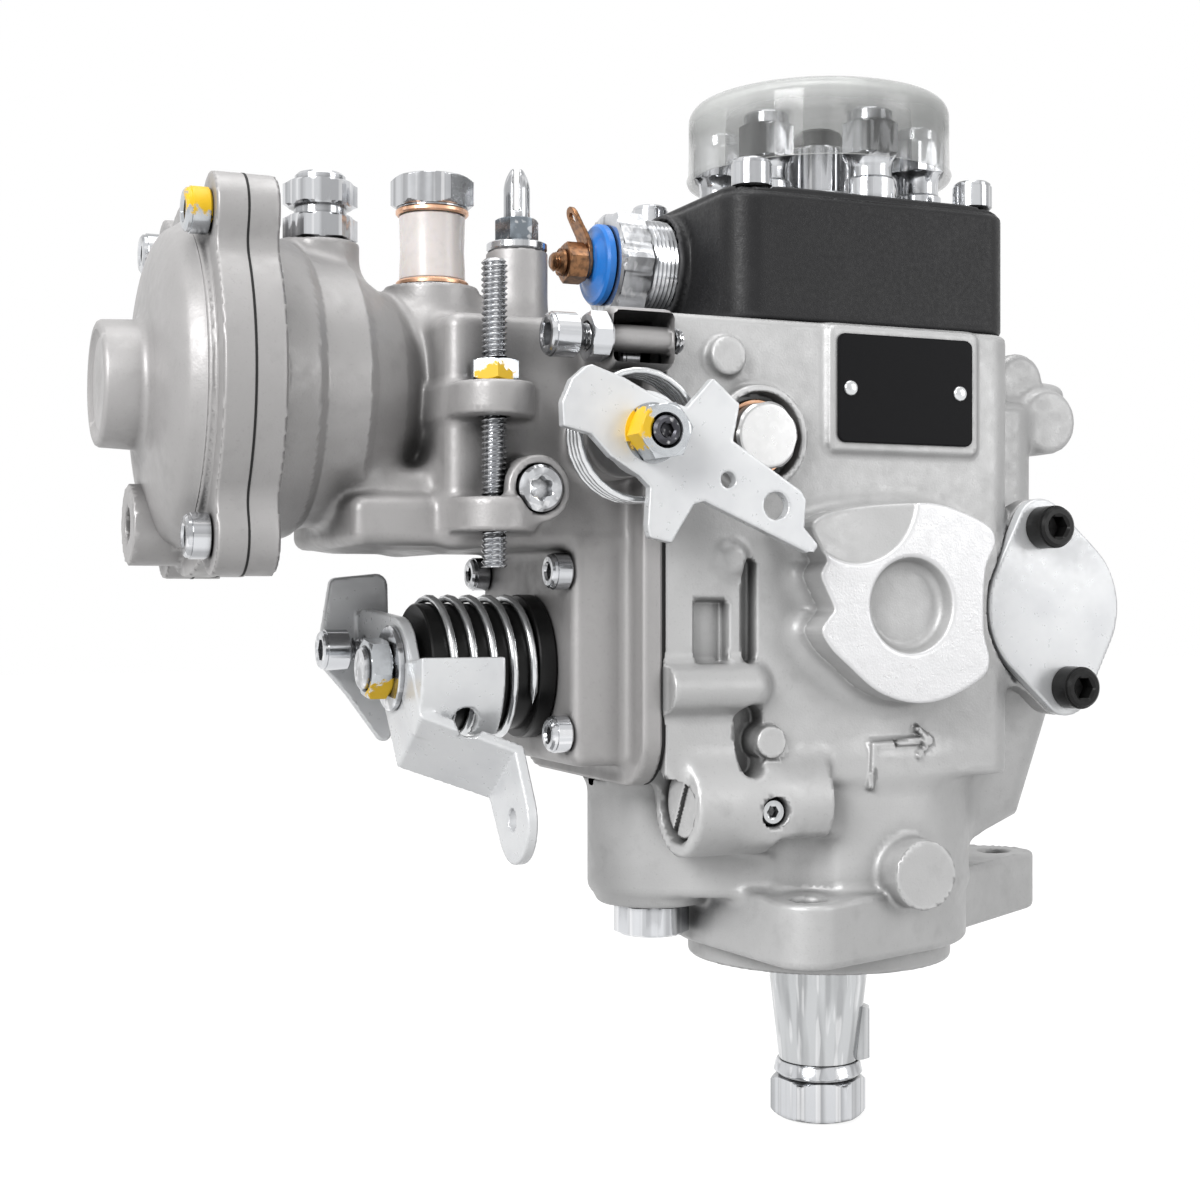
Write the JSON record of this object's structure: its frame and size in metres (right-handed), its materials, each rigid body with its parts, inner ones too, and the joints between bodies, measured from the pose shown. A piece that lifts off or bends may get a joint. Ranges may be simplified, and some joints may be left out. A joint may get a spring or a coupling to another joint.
{
  "type": "diesel injection pump",
  "caption": "Rotary distributor diesel injection pump with tapered drive shaft, governor cover, boost compensator, control levers, timing device and capped outlet head.",
  "frame": {"origin": "centre of the mounting flange's face, on the drive axis", "axes": "+Z along the drive axis from flange to distributor head; -X towards the governor cover and boost compensator; +X towards the timing device; -Y towards the control levers"},
  "size_m": [0.2605, 0.125, 0.2628],
  "materials": {
    "cast_housing": "as-cast, lightly blasted",
    "cast_cover": "as-cast, satin",
    "gasket": "matt",
    "zinc_screws": "bright zinc",
    "black_head": "black oxide",
    "valve_holder_steel": "bright zinc",
    "black_plastic": "moulded",
    "clear_plastic": "milky transparent cap",
    "blue_plastic": "moulded",
    "bronze": "turned",
    "ground_steel": "ground",
    "spring_steel": "drawn wire",
    "copper": "soft copper",
    "milky_plastic": "translucent moulded sleeve",
    "bright_plate": "bright, nearly white",
    "machined_plug": "turned",
    "nameplate_black": "black, bare"
  },
  "bodies": {
    "root": {"pump_housing": "cast_housing", "governor_cover": "cast_cover", "cover_gasket": "gasket", "cover_screws": "zinc_screws", "distributor_head": "black_head", "head_screws": "zinc_screws", "delivery_valve_holders": "valve_holder_steel", "head_plug": "zinc_screws", "bleed_cap": "black_plastic", "outlet_cap": "clear_plastic", "shutoff_body": "valve_holder_steel", "terminal_insulator": "blue_plastic", "terminal_stud": "bronze", "shaft_seal": "gasket", "shaft_bush": "bronze", "feed_pump_ring": "ground_steel", "plunger_springs": "spring_steel", "governor_shaft": "zinc_screws", "governor_spring": "spring_steel", "boost_cover": "cast_cover", "boost_screws": "zinc_screws", "boost_diaphragm": "gasket", "boost_union": "zinc_screws", "banjo_bolt": "zinc_screws", "sealing_washers": "copper", "return_sleeve": "milky_plastic", "adjusting_screws": "zinc_screws", "timing_covers": "bright_plate", "timing_screws": "black_plastic", "timing_spring": "spring_steel", "valve_plug": "machined_plug", "inlet_plug": "zinc_screws", "nameplate": "nameplate_black", "stop_spring": "spring_steel", "speed_spring": "spring_steel"},
    "drive_line": {"drive_shaft": "ground_steel", "shaft_key": "ground_steel", "shaft_nut": "zinc_screws", "vane_rotor": "ground_steel", "drive_gear": "ground_steel", "cross_disc": "ground_steel", "cam_plate": "ground_steel", "plunger": "ground_steel"},
    "governor_drum": {"governor_cage": "ground_steel"},
    "weight_1": {"flyweight_1": "ground_steel"},
    "weight_2": {"flyweight_2": "ground_steel"},
    "weight_3": {"flyweight_3": "ground_steel"},
    "weight_4": {"flyweight_4": "ground_steel"},
    "governor_sleeve": {"sliding_sleeve": "ground_steel"},
    "governor_arm": {"governor_lever": "ground_steel"},
    "spill_collar": {"control_collar": "ground_steel"},
    "advance_piston": {"timing_piston": "ground_steel"},
    "ring_assembly": {"roller_ring": "ground_steel", "ring_rollers": "ground_steel"},
    "stop_control": {"stop_lever": "bright_plate", "stop_lever_shaft": "zinc_screws"},
    "speed_control": {"speed_lever": "bright_plate", "speed_lever_shaft": "zinc_screws"},
    "boost_rod": {"boost_stem": "ground_steel"},
    "shutoff_valve": {"shutoff_plunger": "ground_steel"}
  },
  "joints": [
    {"name": "drive_spin", "type": "hinge", "parent": "root", "child": "drive_line", "pos_m": [0, 0, 0], "axis": [0, 0, 1], "continuous": true},
    {"name": "governor_spin", "type": "hinge", "parent": "root", "child": "governor_drum", "pos_m": [-0.048, 0, 0.05], "axis": [0, 0, 1], "continuous": true},
    {"name": "governor_lever_swing", "type": "hinge", "parent": "root", "child": "governor_arm", "pos_m": [-0.024, 0, 0.118], "axis": [0, 1, 0], "range_deg": [0, 7.2], "stiffness_Nm_per_rad": 2, "springref_deg": -5.73, "deforming": ["governor_spring"]},
    {"name": "sleeve_slide", "type": "slide", "parent": "governor_drum", "child": "governor_sleeve", "axis": [0, 0, 1], "range_m": [0, 0.0032]},
    {"name": "collar_slide", "type": "slide", "parent": "root", "child": "spill_collar", "axis": [0, 0, 1], "range_m": [-0.0016, 0]},
    {"name": "timing_travel", "type": "slide", "parent": "root", "child": "advance_piston", "axis": [0, 1, 0], "range_m": [0, 0.009], "stiffness_N_per_m": 2000, "springref_m": -0.004, "deforming": ["timing_spring"]},
    {"name": "ring_turn", "type": "hinge", "parent": "root", "child": "ring_assembly", "pos_m": [0, 0, 0.0845], "axis": [0, 0, 1], "range_deg": [0, 11.5]},
    {"name": "stop_lever_turn", "type": "hinge", "parent": "root", "child": "stop_control", "pos_m": [-0.0746, 0, 0.1226], "axis": [0, -1, 0], "range_deg": [0, 35], "stiffness_Nm_per_rad": 0.3, "springref_deg": -28.65},
    {"name": "speed_lever_turn", "type": "hinge", "parent": "root", "child": "speed_control", "pos_m": [-0.1, -0.005, 0.0705], "axis": [-1, 0, 0], "range_deg": [0, 40], "stiffness_Nm_per_rad": 0.6, "springref_deg": -28.65},
    {"name": "boost_travel", "type": "slide", "parent": "root", "child": "boost_rod", "axis": [1, 0, 0], "range_m": [0, 0.005], "stiffness_N_per_m": 1500, "springref_m": -0.01, "deforming": ["boost_diaphragm"]},
    {"name": "shutoff_travel", "type": "slide", "parent": "root", "child": "shutoff_valve", "axis": [-1, 0, 0], "range_m": [0, 0.002], "stiffness_N_per_m": 600, "springref_m": -0.004},
    {"name": "weight_1_swing", "type": "hinge", "parent": "governor_drum", "child": "weight_1", "pos_m": [-0.03739, 0.01061, 0.063], "axis": [-0.7071, 0.7071, 0], "range_deg": [0, 22]},
    {"name": "weight_2_swing", "type": "hinge", "parent": "governor_drum", "child": "weight_2", "pos_m": [-0.05861, 0.01061, 0.063], "axis": [-0.7071, -0.7071, 0], "range_deg": [0, 22]},
    {"name": "weight_3_swing", "type": "hinge", "parent": "governor_drum", "child": "weight_3", "pos_m": [-0.05861, -0.01061, 0.063], "axis": [0.7071, -0.7071, 0], "range_deg": [0, 22]},
    {"name": "weight_4_swing", "type": "hinge", "parent": "governor_drum", "child": "weight_4", "pos_m": [-0.03739, -0.01061, 0.063], "axis": [0.7071, 0.7071, 0], "range_deg": [0, 22]}
  ],
  "couplings": [
    {"joint": "governor_spin", "follows": "drive_spin", "ratio": -1.6667},
    {"joint": "sleeve_slide", "follows": "governor_lever_swing", "m_per_rad": 0.024},
    {"joint": "collar_slide", "follows": "governor_lever_swing", "m_per_rad": -0.0118},
    {"joint": "ring_turn", "follows": "timing_travel", "rad_per_m": 21.505},
    {"joint": "weight_1_swing", "follows": "governor_lever_swing", "ratio": 3},
    {"joint": "weight_2_swing", "follows": "governor_lever_swing", "ratio": 3},
    {"joint": "weight_3_swing", "follows": "governor_lever_swing", "ratio": 3},
    {"joint": "weight_4_swing", "follows": "governor_lever_swing", "ratio": 3}
  ]
}
